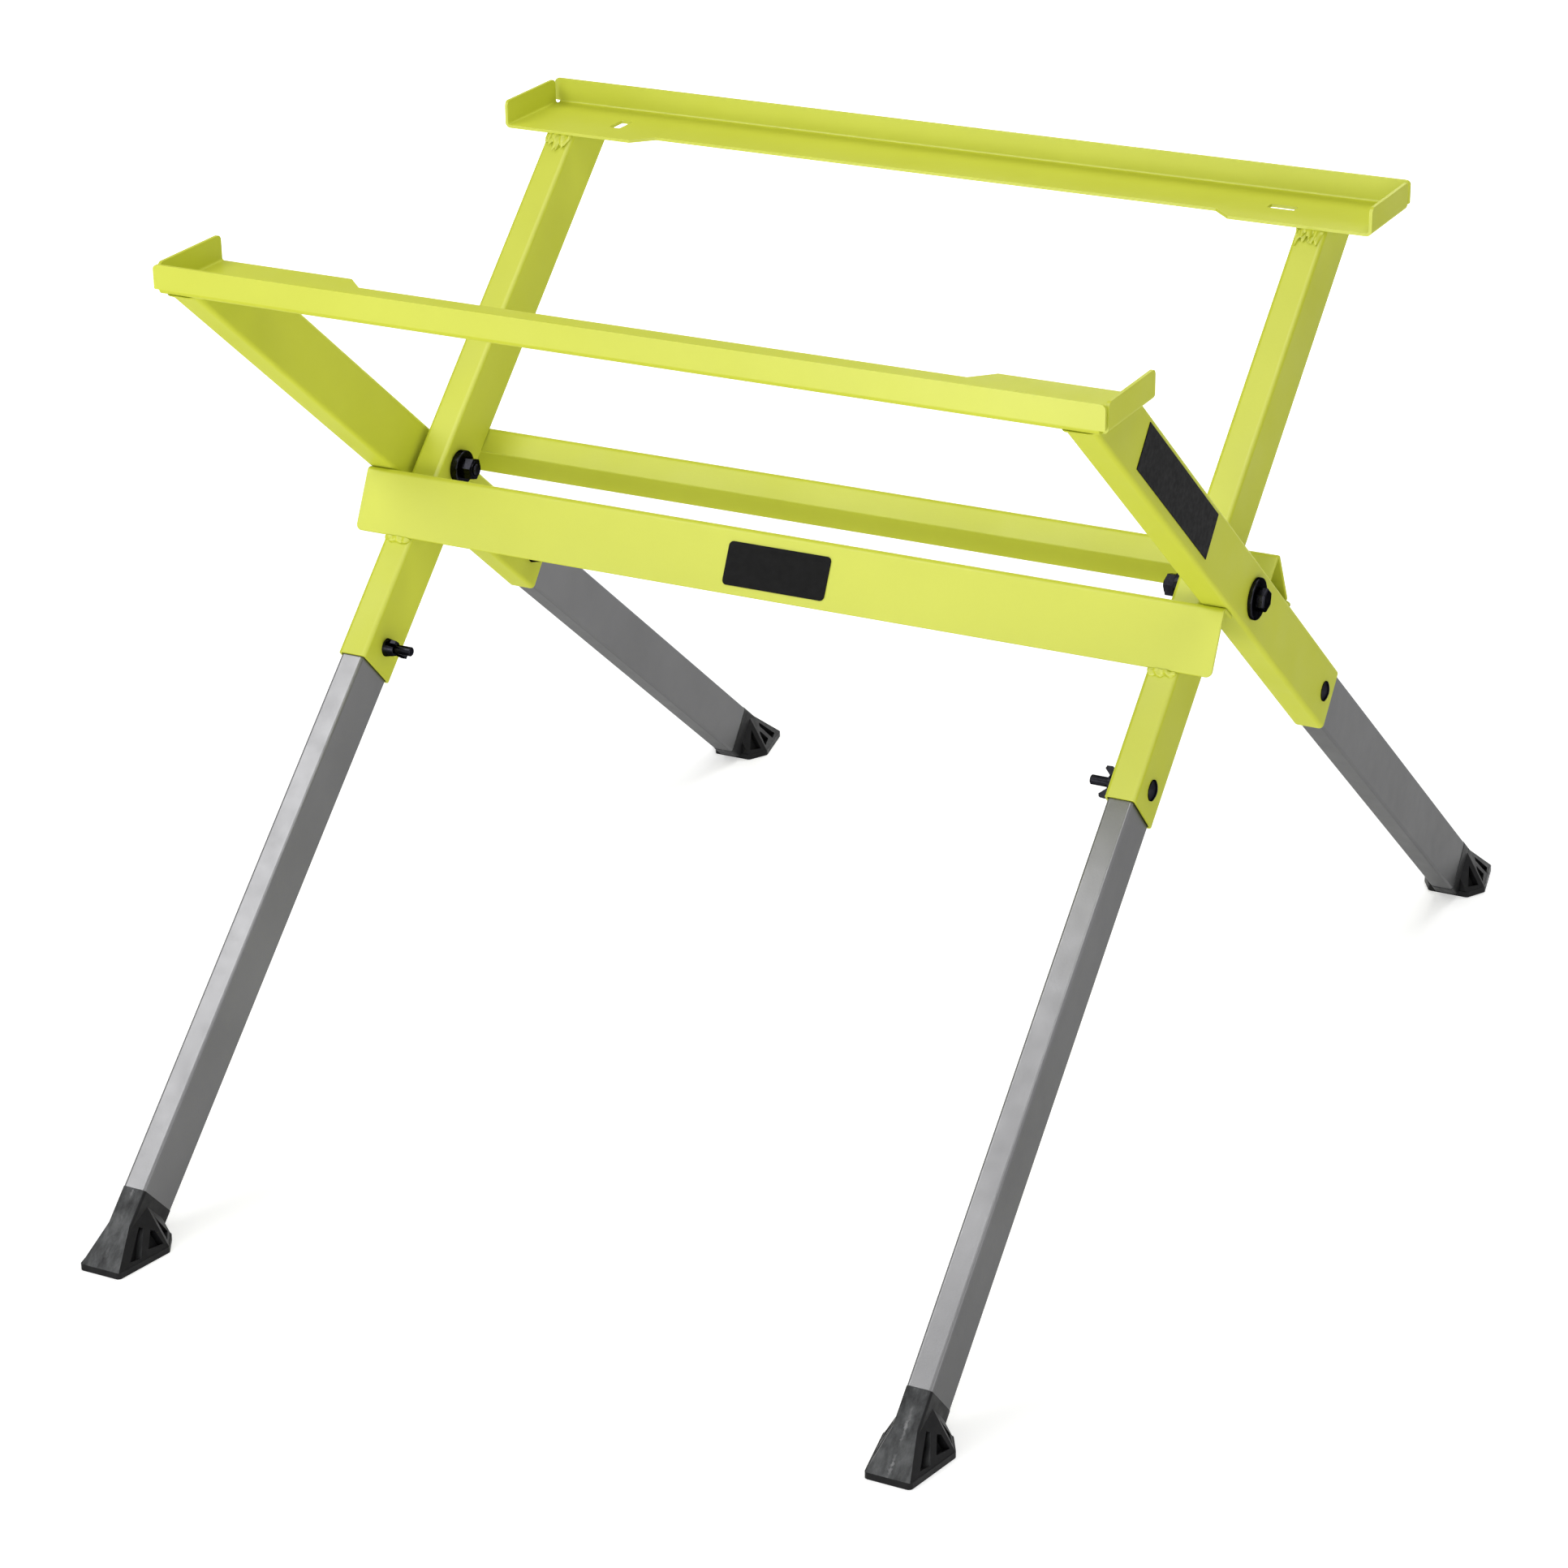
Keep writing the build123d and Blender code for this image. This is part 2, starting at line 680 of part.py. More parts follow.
brace_section = brace_bend_plane(INNER, OUTER)
face_slope = radians(brace_turn(INNER, OUTER))
face_down = (brace_section.x_dir * cos(face_slope) - brace_section.y_dir * sin(face_slope)).normalized()
face_out = face_down.cross(Vector(1, 0, 0))
plate_middle = brace_section.origin + face_down * name_plate_drop + Vector(name_plate_shift, 0, 0)
with BuildPart() as name_plate:
    with BuildSketch(Plane(origin=plate_middle, x_dir=(1, 0, 0), z_dir=face_out)):
        RectangleRounded(name_plate_length, name_plate_height, name_plate_corner)
    extrude(amount=name_plate_thickness)
save(name_plate, "name_plate")

label_side = 1
label_tube = (flange_underside - pivot_height) / cos(radians(outer_angle))
label_middle = tube_plane(OUTER, label_side).offset(label_place_share * label_tube)
label_face = across(label_middle, label_side).offset(tube_width / 2)
with BuildPart() as label_plate:
    with BuildSketch(label_face):
        with Locations((0, -label_shift)):
            Rectangle(label_length_share * label_tube, label_width)
    extrude(amount=label_thickness)
save(label_plate, "label_plate")
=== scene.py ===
import json
import math
import random

import bmesh
import bpy
from mathutils import Matrix, Vector, noise


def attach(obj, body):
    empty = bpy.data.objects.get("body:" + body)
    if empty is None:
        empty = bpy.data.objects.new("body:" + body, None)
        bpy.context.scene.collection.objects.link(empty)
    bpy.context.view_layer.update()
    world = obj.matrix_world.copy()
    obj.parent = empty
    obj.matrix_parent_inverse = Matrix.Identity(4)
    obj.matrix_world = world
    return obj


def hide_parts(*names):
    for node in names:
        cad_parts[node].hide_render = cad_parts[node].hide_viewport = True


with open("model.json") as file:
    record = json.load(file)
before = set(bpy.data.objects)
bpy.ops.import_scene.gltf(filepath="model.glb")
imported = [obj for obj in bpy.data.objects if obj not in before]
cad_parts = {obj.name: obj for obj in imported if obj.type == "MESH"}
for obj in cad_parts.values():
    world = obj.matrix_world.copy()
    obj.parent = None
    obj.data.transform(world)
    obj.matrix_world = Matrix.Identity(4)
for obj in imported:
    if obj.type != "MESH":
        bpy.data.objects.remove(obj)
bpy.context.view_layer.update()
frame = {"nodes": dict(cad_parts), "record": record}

MM = 0.001

# The same named places as in the CAD source, in metres. A tube's lean is 1 where it leans to the
# back going up and -1 where it leans to the front, and its angle is from the vertical.
PIVOT_Y = -23.85 * MM
PIVOT_Z = 378.7 * MM
INNER = {"lean": 1, "angle": math.radians(46.9), "x": 264.8 * MM, "body": "inner_frame"}
OUTER = {"lean": -1, "angle": math.radians(49.95), "x": 288.2 * MM, "body": "outer_frame"}
FLANGE_UNDERSIDE = 559.1 * MM
TUBE_HALF_DEPTH = 20 * MM
SIDES = ((-1, "left"), (1, "right"))

BODY_OF = {
    node: body
    for body, nodes in frame["record"]["behaviour"]["bodies"].items()
    for node in nodes
}


def tube_up(tube):
    """Direction up a tube."""
    return Vector((0, tube["lean"] * math.sin(tube["angle"]), math.cos(tube["angle"])))


def tube_out(tube):
    """Direction out of the tube's face that looks to the front."""
    return Vector((0, -math.cos(tube["angle"]), tube["lean"] * math.sin(tube["angle"])))


def tube_point(tube, side, along, out, across):
    """Point by its distance up the tube from the pivot, out of its front face and across."""
    middle = Vector((side * tube["x"], PIVOT_Y, PIVOT_Z))
    return middle + tube_up(tube) * along + tube_out(tube) * out + Vector((across, 0, 0))


# Materials

# Nearly all values of a noise lie between these two
NOISE_LOW = 0.3
NOISE_HIGH = 0.7


class Shader:
    """Small helper that adds nodes to one material and links them."""

    def __init__(self, name):
        self.material = bpy.data.materials.new(name)
        self.material.use_nodes = True
        self.tree = self.material.node_tree
        self.bsdf = self.tree.nodes["Principled BSDF"]
        coordinates = self.tree.nodes.new("ShaderNodeTexCoord")
        self.place = coordinates.outputs["Object"]
        self.normal = coordinates.outputs["Normal"]

    def add(self, kind, **values):
        """Node of one kind. Each value goes to the property or else the input of that name."""
        node = self.tree.nodes.new("ShaderNode" + kind)
        for key, value in values.items():
            if hasattr(node, key):
                setattr(node, key, value)
            else:
                node.inputs[key.replace("_", " ")].default_value = value
        return node

    def link(self, out, into):
        """Link an output to an input, or to the shader's input of that name."""
        self.tree.links.new(out, self.bsdf.inputs[into] if isinstance(into, str) else into)

    def set(self, **values):
        """Set constants on the shader's own inputs."""
        for key, value in values.items():
            self.bsdf.inputs[key.replace("_", " ")].default_value = value

    def noise(self, scale, detail=2.0, roughness=0.5, stretch=None):
        """Noise of so many cells per metre, stretched along an axis where asked."""
        node = self.add("TexNoise", Scale=scale, Detail=detail, Roughness=roughness)
        if stretch:
            mapping = self.add("Mapping")
            mapping.inputs["Scale"].default_value = stretch
            self.link(self.place, mapping.inputs["Vector"])
            self.link(mapping.outputs["Vector"], node.inputs["Vector"])
        else:
            self.link(self.place, node.inputs["Vector"])
        return node.outputs["Fac"]

    def ramp(self, fac, stops):
        """Colour ramp from (place, colour) stops."""
        node = self.add("ValToRGB")
        self.link(fac, node.inputs["Fac"])
        elements = node.color_ramp.elements
        while len(elements) < len(stops):
            elements.new(0.5)
        for element, (place, colour) in zip(elements, stops):
            element.position = place
            element.color = (*colour, 1)
        return node.outputs["Color"]

    def drift(self, fac, dark, light):
        """Colour that drifts between two with a noise."""
        return self.ramp(fac, ((NOISE_LOW, dark), (NOISE_HIGH, light)))

    def mapped(self, fac, low, high, from_low=NOISE_LOW, from_high=NOISE_HIGH):
        """Value that goes from low to high while fac goes from from_low to from_high."""
        node = self.add("MapRange", From_Min=from_low, From_Max=from_high, To_Min=low, To_Max=high)
        self.link(fac, node.inputs["Value"])
        return node.outputs["Result"]

    def bump(self, fac, distance, strength=1.0, normal=None):
        """Surface that rises by a distance with fac, on top of another bump where given."""
        node = self.add("Bump", Strength=strength, Distance=distance)
        self.link(fac, node.inputs["Height"])
        if normal is not None:
            self.link(normal, node.inputs["Normal"])
        return node.outputs["Normal"]

    def math(self, operation, first, second=None):
        """Result of an operation on one or two values, each a socket or a number."""
        node = self.add("Math", operation=operation)
        for value, socket in zip((first, second), node.inputs):
            if isinstance(value, (int, float)):
                socket.default_value = value
            elif value is not None:
                self.link(value, socket)
        return node.outputs["Value"]

    def mix(self, share, first, second):
        """Colour between two, each a socket or a plain colour."""
        node = self.add("MixRGB")
        self.link(share, node.inputs["Fac"])
        for value, name in ((first, "Color1"), (second, "Color2")):
            if isinstance(value, tuple):
                node.inputs[name].default_value = (*value, 1)
            else:
                self.link(value, node.inputs[name])
        return node.outputs["Color"]

    def split(self, vector):
        """The x, y and z of a vector."""
        node = self.add("SeparateXYZ")
        self.link(vector, node.inputs["Vector"])
        return node.outputs


def linear(red, green, blue):
    """Linear colour from the usual 0 to 255 values."""
    out = []
    for value in (red, green, blue):
        share = value / 255
        out.append(share / 12.92 if share <= 0.04045 else ((share + 0.055) / 1.055) ** 2.4)
    return tuple(out)


def powder_coat(name, dark, light, roughness):
    """Satin powder coat: slight drift of its colour and gloss and a fine orange peel. Its gloss is
    strongest where a face is seen square on."""
    gloss_drift = 0.05
    peel_height = 0.06 * MM
    square_gloss, slant_gloss = 1.0, 0.05
    square, slant = 0.12, 0.29
    s = Shader(name)
    s.link(s.drift(s.noise(9, detail=3), dark, light), "Base Color")
    gloss = s.noise(30, detail=3)
    s.link(s.mapped(gloss, roughness - gloss_drift, roughness + gloss_drift), "Roughness")
    s.link(s.bump(s.noise(420), peel_height), "Normal")
    facing = s.add("LayerWeight", Blend=0.5).outputs["Facing"]
    s.link(s.mapped(facing, square_gloss, slant_gloss, square, slant), "Specular IOR Level")
    return s.material


def satin_grey(name):
    """Satin grey paint: slight drift of its tone and gloss and a fine grain."""
    grain_height = 0.03 * MM
    tint = 0.55
    s = Shader(name)
    tone = s.drift(s.noise(12, detail=4), linear(106, 106, 107), linear(114, 114, 115))
    s.link(tone, "Base Color")
    s.link(s.mapped(s.noise(60, detail=4), 0.28, 0.36), "Roughness")
    s.link(s.bump(s.noise(900), grain_height), "Normal")
    s.set(Metallic=1.0, Specular_Tint=(tint, tint, tint, 1))
    return s.material


def moulded_black(name, seam_x):
    """Black moulding: near black, with painted sheen on its sloping outer faces: grey, mottled
    like its real flow marks, and with a pale, broken line along their middle, where the mould seam
    runs."""
    flow_stretch = (1.0, 0.45, 0.45)
    level_sum, sloping_sum = 1.1, 1.32
    seam_core, seam_edge, seam_wander = 0.1 * MM, 1.1 * MM, 0.9 * MM
    broken, whole, seam_strength = 0.42, 0.62, 0.7
    grain_height = 0.04 * MM
    flow_height, flow_strength = 0.3 * MM, 0.6
    s = Shader(name)

    flow = s.noise(110, detail=6, roughness=0.65, stretch=flow_stretch)
    dark = s.drift(s.noise(160, detail=4), linear(17, 17, 18), linear(28, 28, 29))
    # Painted sheen: mottled grey that makes the sloping outer faces lighter than the black sides
    sheen_stops = ((0.34, (44, 44, 45)), (0.5, (72, 73, 74)), (0.68, (98, 99, 100)))
    mottled_sheen = s.ramp(flow, [(place, linear(*colour)) for place, colour in sheen_stops])

    # The sum of the normal's y, either way, and its z is largest on the sloping faces
    facing = s.split(s.normal)
    slope = s.math("ADD", s.math("ABSOLUTE", facing["Y"]), facing["Z"])
    # Mask of the painted sheen: the sloping faces
    sloping = s.mapped(slope, 0.0, 1.0, level_sum, sloping_sum)

    place = s.split(s.place)
    off_seam = s.math("SUBTRACT", s.math("ABSOLUTE", place["X"]), seam_x)
    wander = s.mapped(s.noise(420, detail=3), -seam_wander, seam_wander)
    off_line = s.math("ADD", s.math("ABSOLUTE", off_seam), wander)
    line = s.mapped(off_line, 1.0, 0.0, seam_core, seam_edge)
    breaks = s.mapped(s.noise(70), 0.0, seam_strength, broken, whole)
    # The pale line along the seam lies within the painted sheen
    lit = s.mix(s.math("MULTIPLY", line, breaks), mottled_sheen, linear(142, 142, 143))

    # Painted sheen on the sloping faces, near black elsewhere
    s.link(s.mix(sloping, dark, lit), "Base Color")
    s.link(s.mapped(s.noise(140, detail=4), 0.38, 0.56), "Roughness")
    grain = s.bump(s.noise(1500), grain_height)
    s.link(s.bump(flow, flow_height, flow_strength, grain), "Normal")
    s.set(Specular_IOR_Level=0.12)
    return s.material


def black_finish(name, colour, roughness, metallic=0.0, specular=0.3, edge=1.0):
    """Black finish with small differences in its tone and gloss."""
    lighter = 1.5
    glossier, duller = 0.06, 0.08
    grain_height = 0.04 * MM
    s = Shader(name)
    tone = s.drift(s.noise(200, detail=3), colour, tuple(part * lighter for part in colour))
    s.link(tone, "Base Color")
    gloss = s.noise(350, detail=3)
    s.link(s.mapped(gloss, roughness - glossier, roughness + duller), "Roughness")
    s.link(s.bump(s.noise(700), grain_height), "Normal")
    s.set(Metallic=metallic, Specular_IOR_Level=specular, Specular_Tint=(edge, edge, edge, 1))
    return s.material


def bare_steel(name):
    """Turned steel of the sleeves."""
    s = Shader(name)
    tone = s.drift(s.noise(300, detail=3), linear(140, 138, 132), linear(160, 158, 152))
    s.link(tone, "Base Color")
    s.link(s.mapped(s.noise(500, detail=3), 0.3, 0.45), "Roughness")
    s.set(Metallic=1.0)
    return s.material


GREEN = powder_coat("green_powder_coat", linear(203, 209, 67), linear(209, 215, 73), 0.48)
GREY = satin_grey("grey_satin_paint")
FOOT_BLACK = {
    "front": moulded_black("foot_black_front", INNER["x"]),
    "rear": moulded_black("foot_black_rear", OUTER["x"]),
}
HARDWARE = black_finish("hardware_black", linear(32, 32, 36), 0.24, metallic=1.0, edge=0.35)
PLATE = black_finish("plate_black", linear(19, 19, 20), 0.5, specular=0.08)
LABEL = black_finish("label_black", linear(17, 17, 18), 0.5, specular=0.02)
STEEL = bare_steel("turned_steel")


# Pieces from CAD shapes, with their sharp edges rounded

MERGE_DISTANCE = 0.002 * MM
FLAT_ANGLE = math.radians(0.15)
SHEET_EDGE_ANGLE = math.radians(35)
FOOT_EDGE_ANGLE = math.radians(14)
SPLIT_ANGLE = math.radians(60)
BEAD_SPLIT_ANGLE = math.radians(70)
FLAT_FACE_WEIGHT = 80


def finish_piece(piece, body, material, angle):
    """Material, smooth shading split at sharp edges, and the body that the piece rides on."""
    piece.data.materials.clear()
    piece.data.materials.append(material)
    for polygon in piece.data.polygons:
        polygon.use_smooth = True
        polygon.material_index = 0
    piece.data.set_sharp_from_angle(angle=angle)
    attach(piece, body)


def softened(node, width, material, segments=2, angle=SHEET_EDGE_ANGLE):
    """A piece with a CAD node's shape whose sharp edges are rounded. It stands for the node."""
    mesh = frame["nodes"][node].data.copy()
    mesh.name = node + "_soft"
    made = bmesh.new()
    made.from_mesh(mesh)
    bmesh.ops.remove_doubles(made, verts=made.verts, dist=MERGE_DISTANCE)
    bmesh.ops.dissolve_limit(made, angle_limit=FLAT_ANGLE, verts=made.verts, edges=made.edges)
    made.to_mesh(mesh)
    made.free()
    if "custom_normal" in mesh.attributes:
        mesh.attributes.remove(mesh.attributes["custom_normal"])
    piece = bpy.data.objects.new(node + "_soft", mesh)
    bpy.context.scene.collection.objects.link(piece)
    bevel = piece.modifiers.new("rounded_edges", "BEVEL")
    bevel.width = width
    bevel.segments = segments
    bevel.limit_method = "ANGLE"
    bevel.angle_limit = angle
    bevel.use_clamp_overlap = True
    bevel.harden_normals = False
    weighted = piece.modifiers.new("flat_faces", "WEIGHTED_NORMAL")
    weighted.mode = "FACE_AREA"
    weighted.weight = FLAT_FACE_WEIGHT
    weighted.keep_sharp = True
    finish_piece(piece, BODY_OF[node], material, SPLIT_ANGLE)
    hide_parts(node)


# The hardware of each pivot, with the rounding of its edges
PIVOT_HARDWARE = (
    ("pivot_bolt", 0.45 * MM),
    ("pivot_nut", 1.1 * MM),
    ("pivot_outer_washer", 0.5 * MM),
    ("pivot_inner_washer", 0.5 * MM),
    ("pivot_spacer", 0.2 * MM),
)

for node in ("rear_rail", "front_rail"):
    softened(node, 0.3 * MM, GREEN)
for node in ("front_brace", "rear_brace"):
    softened(node, 0.5 * MM, GREEN)
for _, hand in SIDES:
    for tube in ("inner", "outer"):
        softened(f"{tube}_tube_{hand}", 0.3 * MM, GREEN)
    for end in ("front", "rear"):
        softened(f"{end}_leg_{hand}", 0.25 * MM, GREY)
        softened(f"{end}_foot_{hand}", 0.6 * MM, FOOT_BLACK[end],
                 segments=3, angle=FOOT_EDGE_ANGLE)
        softened(f"{end}_clamp_bolt_{hand}", 0.2 * MM, HARDWARE)
        softened(f"{end}_wing_nut_{hand}", 0.5 * MM, HARDWARE, segments=3)
    for node, width in PIVOT_HARDWARE:
        softened(f"{node}_{hand}", width, HARDWARE, segments=3)
softened("name_plate", 0.3 * MM, PLATE)
softened("label_plate", 0.15 * MM, LABEL)

# The sleeves are inside the tubes and keep their CAD shape
for _, hand in SIDES:
    for tube in ("inner", "outer"):
        node = frame["nodes"][f"{tube}_sleeve_{hand}"]
        node.data.materials.clear()
        node.data.materials.append(STEEL)


# Weld beads

BEAD_HALF_LENGTH = 9.3 * MM  # a little inside the tube's rounded corners
BEAD_ROOT = 0.2 * MM  # how far the bead reaches into the corner
BEAD_STATIONS = 60  # rings along the bead
BEAD_ARC = 12  # steps across its round face
CAP_POWER = 6  # the higher, the blunter the bead's ends
CAP_LEAST = 0.25
SWELL_LEAST = 0.4
FLANK_POWER = 0.75  # below 1 the section is fuller than a quarter round
RIPPLE_SLANT = 0.45
LUMPS_ALONG = 1.3  # cells of the lumps' noise per ripple
LUMPS_ACROSS = 1.8
LUMPS_APART = (3.1, 1.7)  # from one seed's noise to the next
LUMP_COARSE = 1.2
LUMP_FINE = 0.5
LUMP_FINE_SCALE = 2.7


def bead(name, ends, first, second, size, body, seed, ripples, lump, reach):
    """Weld along a corner between two faces: first and second point along the faces from it."""
    start, end = ends
    run = end - start
    phase = random.Random(seed).uniform(0, 1)
    made = bmesh.new()
    rings = []
    for i in range(BEAD_STATIONS + 1):
        t = i / BEAD_STATIONS
        cap = math.sqrt(max(0.0, 1 - (2 * t - 1) ** CAP_POWER))
        ring = []
        for j in range(BEAD_ARC + 1):
            across = j / BEAD_ARC
            turn = math.pi / 2 * across
            ripple = math.sin(math.pi * (t * ripples + phase + RIPPLE_SLANT * across)) ** 2
            spot = Vector((t * ripples * LUMPS_ALONG + seed * LUMPS_APART[0],
                           across * LUMPS_ACROSS, seed * LUMPS_APART[1]))
            swell = 1 + lump * (ripple - 0.5)
            swell += lump * LUMP_COARSE * noise.noise(spot)
            swell += lump * LUMP_FINE * noise.noise(spot * LUMP_FINE_SCALE)
            radius = size * max(CAP_LEAST, cap) * max(SWELL_LEAST, swell)
            on_first = radius * (math.cos(turn) ** FLANK_POWER * reach[0])
            on_second = radius * (math.sin(turn) ** FLANK_POWER * reach[1])
            ring.append(start + run * t + first * on_first + second * on_second)
        ring.append(start + run * t - (first + second) * BEAD_ROOT)
        rings.append([made.verts.new(point) for point in ring])
    for a, b in zip(rings, rings[1:]):
        count = len(a)
        for j in range(count):
            made.faces.new((a[j], a[(j + 1) % count], b[(j + 1) % count], b[j]))
    made.faces.new(rings[0])
    made.faces.new(tuple(reversed(rings[-1])))
    bmesh.ops.recalc_face_normals(made, faces=made.faces)
    mesh = bpy.data.meshes.new(name)
    made.to_mesh(mesh)
    made.free()
    piece = bpy.data.objects.new(name, mesh)
    bpy.context.scene.collection.objects.link(piece)
    finish_piece(piece, body, GREEN, BEAD_SPLIT_ANGLE)


def bead_ends(tube, side, along, face):
    """The two ends of a bead across one face of a tube."""
    return [
        tube_point(tube, side, along, face * TUBE_HALF_DEPTH, edge * BEAD_HALF_LENGTH)
        for edge in (-1, 1)
    ]


def rail_corner(tube, face):
    """Distance up the tube at which one of its faces meets the rail's flange."""
    rise = FLANGE_UNDERSIDE - PIVOT_Z - face * TUBE_HALF_DEPTH * tube_out(tube).z
    return rise / tube_up(tube).z


# A rail's weld in the open corner, which the photograph shows, is larger and rougher
OPEN_WELD = {"size": 4.8 * MM, "lump": 0.55, "reach": (1.75, 0.95)}
PLAIN_WELD = {"size": 2.6 * MM, "lump": 0.2, "reach": (1.2, 1.0)}
BRACE_WELD = {"size": 2.7 * MM, "lump": 0.3, "reach": (1.4, 0.95)}


def rail_welds(tube, rail_name, seed):
    """Welds under a rail, at the front and back faces of its two tubes."""
    for side, hand in SIDES:
        for face, face_name in ((1, "front"), (-1, "back")):
            ends = bead_ends(tube, side, rail_corner(tube, face), face)
            level = Vector((0, math.copysign(1, tube_out(tube).y * face), 0))
            weld = OPEN_WELD if tube is INNER and face == 1 else PLAIN_WELD
            bead(f"{rail_name}_weld_{face_name}_{hand}", ends, -tube_up(tube), level,
                 body=tube["body"], seed=seed + side + 3 * face, ripples=4, **weld)


def brace_welds(tube, brace_name, seed):
    """Welds along a brace's lower edge where it meets its own tubes."""
    edge_band = 0.3 * MM
    up, out = tube_up(tube), tube_out(tube)
    pivot = Vector((0, PIVOT_Y, PIVOT_Z))
    node = frame["nodes"][brace_name]
    points = [node.matrix_world @ vertex.co - pivot for vertex in node.data.vertices]
    low = min(point.dot(up) for point in points)
    lower_edge = [point for point in points if point.dot(up) < low + edge_band]
    face = 1 if max((point.dot(out) for point in lower_edge), key=abs) > 0 else -1
    for side, hand in SIDES:
        ends = bead_ends(tube, side, low, face)
        bead(f"{brace_name}_weld_{hand}", ends, -up, out * face,
             body=tube["body"], seed=seed + side, ripples=3, **BRACE_WELD)


rail_welds(INNER, "rear_rail", 11)
rail_welds(OUTER, "front_rail", 18)
brace_welds(INNER, "front_brace", 31)
brace_welds(OUTER, "rear_brace", 41)


# Camera, fitted to the photograph: degrees, metres, and millimetres on a sensor 36 mm wide

CAMERA_AZIMUTH = 27.284
CAMERA_ELEVATION = 24.364
CAMERA_ROLL = -0.738
CAMERA_PLACE = (1.1668, -2.30675, 1.3248)
CAMERA_SENSOR = 36
CAMERA_LENS = 100.143
CAMERA_SHIFT = (-0.00868, 0.0345)
CAMERA_CLIP = 100


def camera():
    """Camera at the photograph's place, azimuth, elevation and roll."""
    azimuth, elevation = math.radians(CAMERA_AZIMUTH), math.radians(CAMERA_ELEVATION)
    roll = math.radians(CAMERA_ROLL)
    level = math.cos(elevation)
    ahead = Vector((-math.sin(azimuth) * level, math.cos(azimuth) * level, -math.sin(elevation)))
    right = Vector((math.cos(azimuth), math.sin(azimuth), 0))
    up = right.cross(ahead)
    rolled_right = right * math.cos(roll) + up * math.sin(roll)
    rolled_up = up * math.cos(roll) - right * math.sin(roll)
    made = bpy.data.objects.new("camera", bpy.data.cameras.new("camera"))
    bpy.context.scene.collection.objects.link(made)
    turn = Matrix((rolled_right, rolled_up, -ahead)).transposed().to_4x4()
    made.matrix_world = Matrix.Translation(CAMERA_PLACE) @ turn
    made.data.sensor_width = CAMERA_SENSOR
    made.data.lens = CAMERA_LENS
    made.data.shift_x, made.data.shift_y = CAMERA_SHIFT
    made.data.clip_end = CAMERA_CLIP
    bpy.context.scene.camera = made


camera()


# Floor, lights and background

WHITE = (1, 1, 1, 1)
FLOOR_REACH = 14
FLOOR_DROP = 0.2 * MM  # below the feet
FLOOR_COLOUR = (0.8, 0.8, 0.8, 1)
FLOOR_GLOW_UNSEEN = 0.22
FLOOR_GLOW_NEAR = 0.5  # what the floor adds to its own light where it is seen
FLOOR_GLOW_FAR = 1.0
FLOOR_NEAR = 0.7  # distances from the middle
FLOOR_FAR = 2.2
WORLD_UNSEEN = 0.1
WORLD_SEEN = 1.0
LAMP_TARGET = Vector((0, 0, 0.3))
# Each lamp's name, place, size and power in watts
LAMPS = (
    ("front", (0.2, -3.2, 0.45), (2.0, 1.4), 47),
    ("left", (-2.6, -2.0, 0.5), (1.6, 0.9), 6),
    ("top_left", (-1.35, -1.2, 2.3), (1.4, 1.4), 24),
    ("back_top", (0.3, 1.6, 2.4), (1.6, 1.2), 26),
    ("high", (0.75, -0.9, 2.5), (1.2, 1.2), 13),
    ("behind", (-0.4, 3.2, 0.9), (2.0, 1.4), 36),
    ("right", (3.0, -1.2, 0.9), (1.6, 1.4), 16),
)


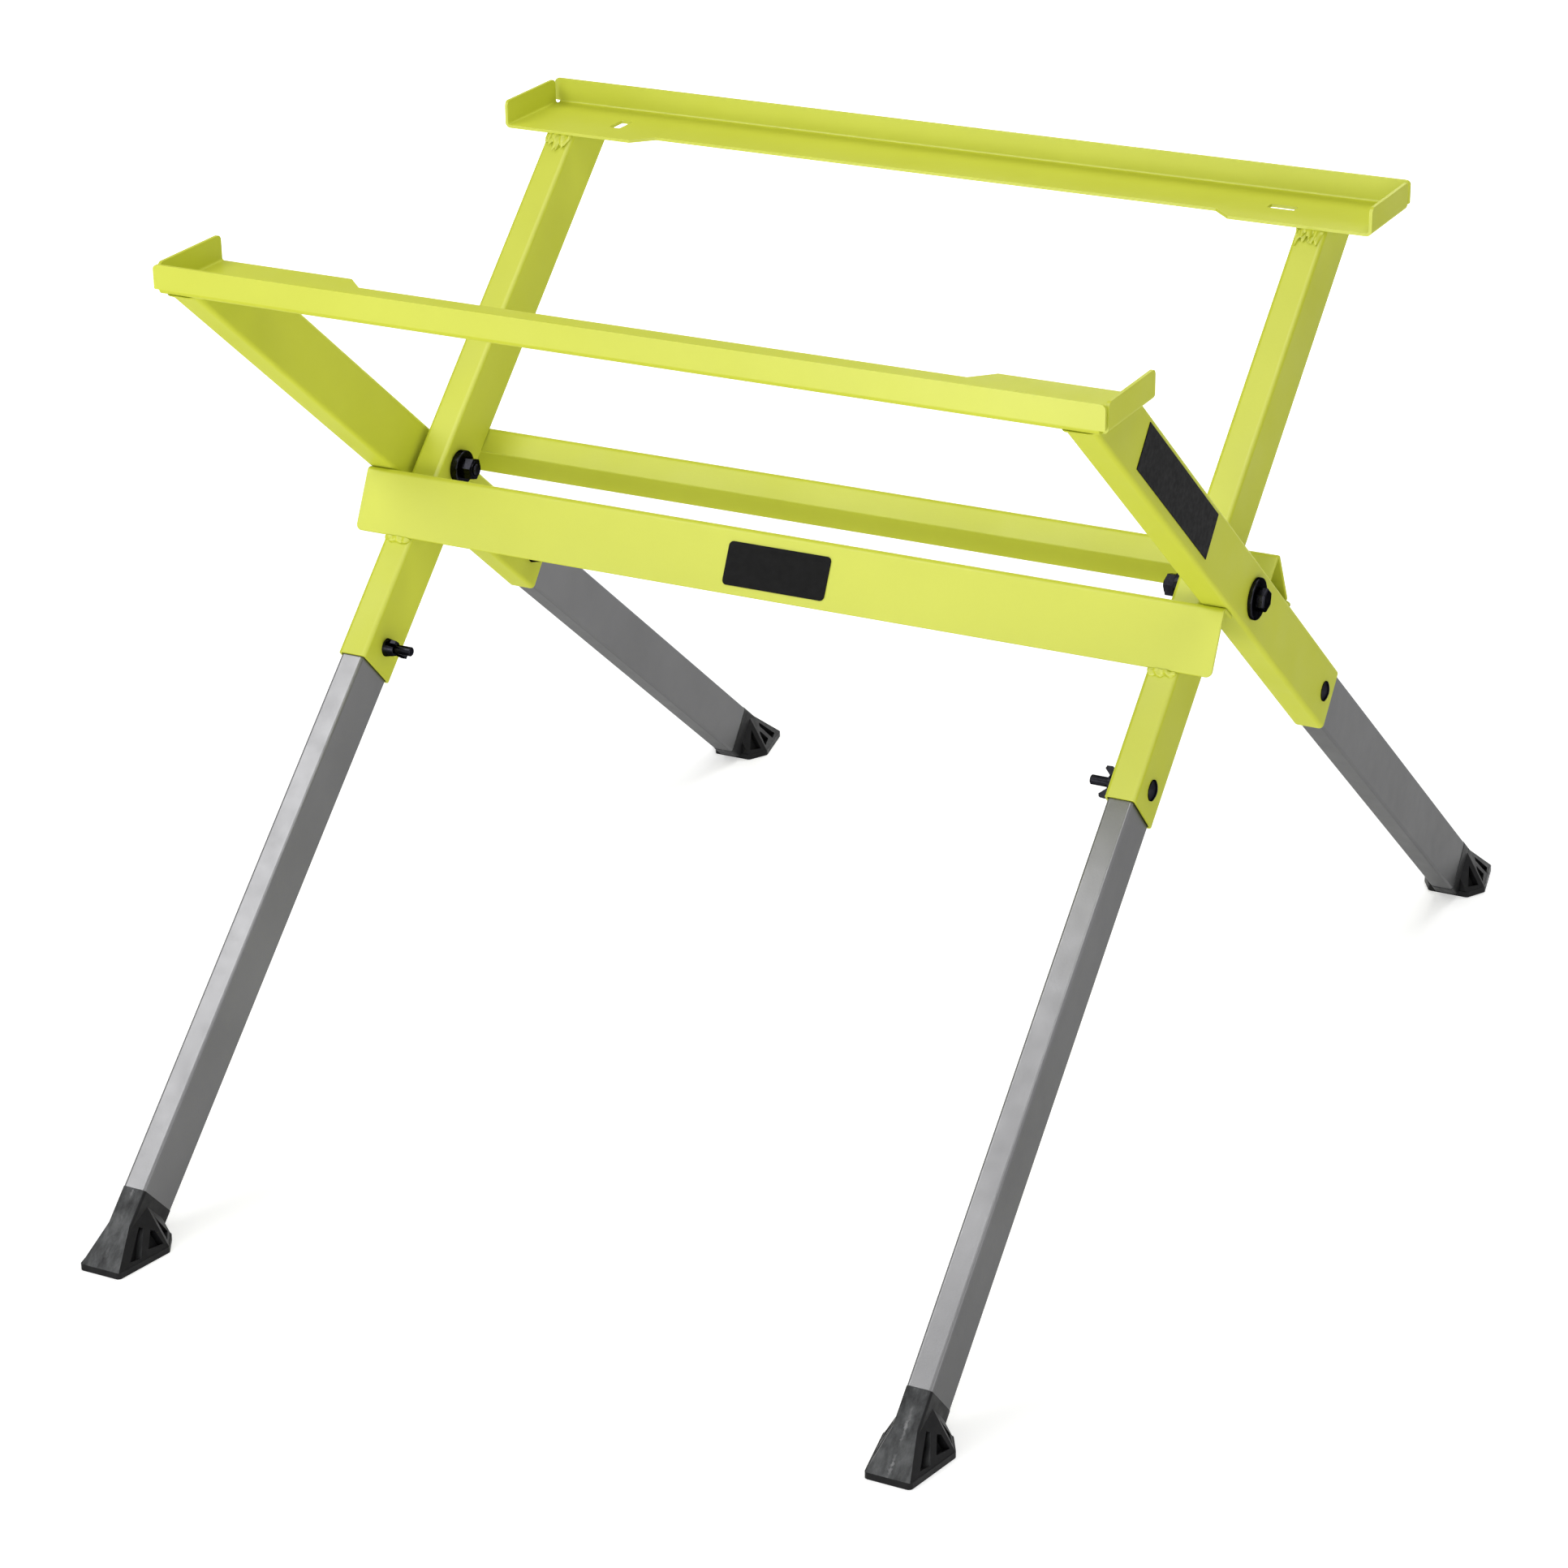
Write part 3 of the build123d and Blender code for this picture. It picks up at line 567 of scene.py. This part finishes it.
def seen_share(tree, unseen, seen):
    """One strength for the rays that light the object, and another where the background itself is
    seen. The second is a number or a socket."""
    path = tree.nodes.new("ShaderNodeLightPath")
    value = path.outputs["Is Camera Ray"]
    for name in ("Is Glossy Ray", "Is Transmission Ray"):
        either = tree.nodes.new("ShaderNodeMath")
        either.operation = "MAXIMUM"
        tree.links.new(value, either.inputs[0])
        tree.links.new(path.outputs[name], either.inputs[1])
        value = either.outputs[0]
    level = tree.nodes.new("ShaderNodeMapRange")
    level.inputs["To Min"].default_value = unseen
    if isinstance(seen, float):
        level.inputs["To Max"].default_value = seen
    else:
        tree.links.new(seen, level.inputs["To Max"])
    tree.links.new(value, level.inputs["Value"])
    return level.outputs["Result"]


def floor_white():
    """White floor that keeps a soft shadow near the object."""
    s = Shader("floor_white")
    s.set(Base_Color=FLOOR_COLOUR, Roughness=1, Specular_IOR_Level=0, Emission_Color=WHITE)
    distance = s.add("VectorMath", operation="LENGTH")
    s.link(s.place, distance.inputs[0])
    glow = s.mapped(distance.outputs["Value"], FLOOR_GLOW_NEAR, FLOOR_GLOW_FAR,
                    FLOOR_NEAR, FLOOR_FAR)
    s.link(seen_share(s.tree, FLOOR_GLOW_UNSEEN, glow), "Emission Strength")
    return s.material


def lay_floor():
    """Square floor just under the feet."""
    corners = [(-1, -1), (1, -1), (1, 1), (-1, 1)]
    mesh = bpy.data.meshes.new("floor")
    mesh.from_pydata([(x * FLOOR_REACH, y * FLOOR_REACH, 0) for x, y in corners], [],
                     [(0, 1, 2, 3)])
    mesh.materials.append(floor_white())
    floor = bpy.data.objects.new("floor", mesh)
    bpy.context.scene.collection.objects.link(floor)
    floor.location.z = -FLOOR_DROP


def background():
    """World that is white where it is seen and lights the object only a little."""
    world = bpy.data.worlds.new("studio")
    bpy.context.scene.world = world
    world.use_nodes = True
    back = world.node_tree.nodes["Background"]
    back.inputs["Color"].default_value = WHITE
    strength = seen_share(world.node_tree, WORLD_UNSEEN, WORLD_SEEN)
    world.node_tree.links.new(strength, back.inputs["Strength"])


def lamp(name, place, size, power):
    """Soft rectangular lamp that looks at the middle of the object."""
    data = bpy.data.lights.new(name, "AREA")
    data.shape = "RECTANGLE"
    data.size, data.size_y = size
    data.energy = power
    made = bpy.data.objects.new(name, data)
    bpy.context.scene.collection.objects.link(made)
    made.location = place
    made.rotation_euler = (LAMP_TARGET - Vector(place)).to_track_quat("-Z", "Y").to_euler()


lay_floor()
background()
for name, place, size, power in LAMPS:
    lamp(name, place, size, power)
bpy.context.scene.view_settings.view_transform = "Standard"
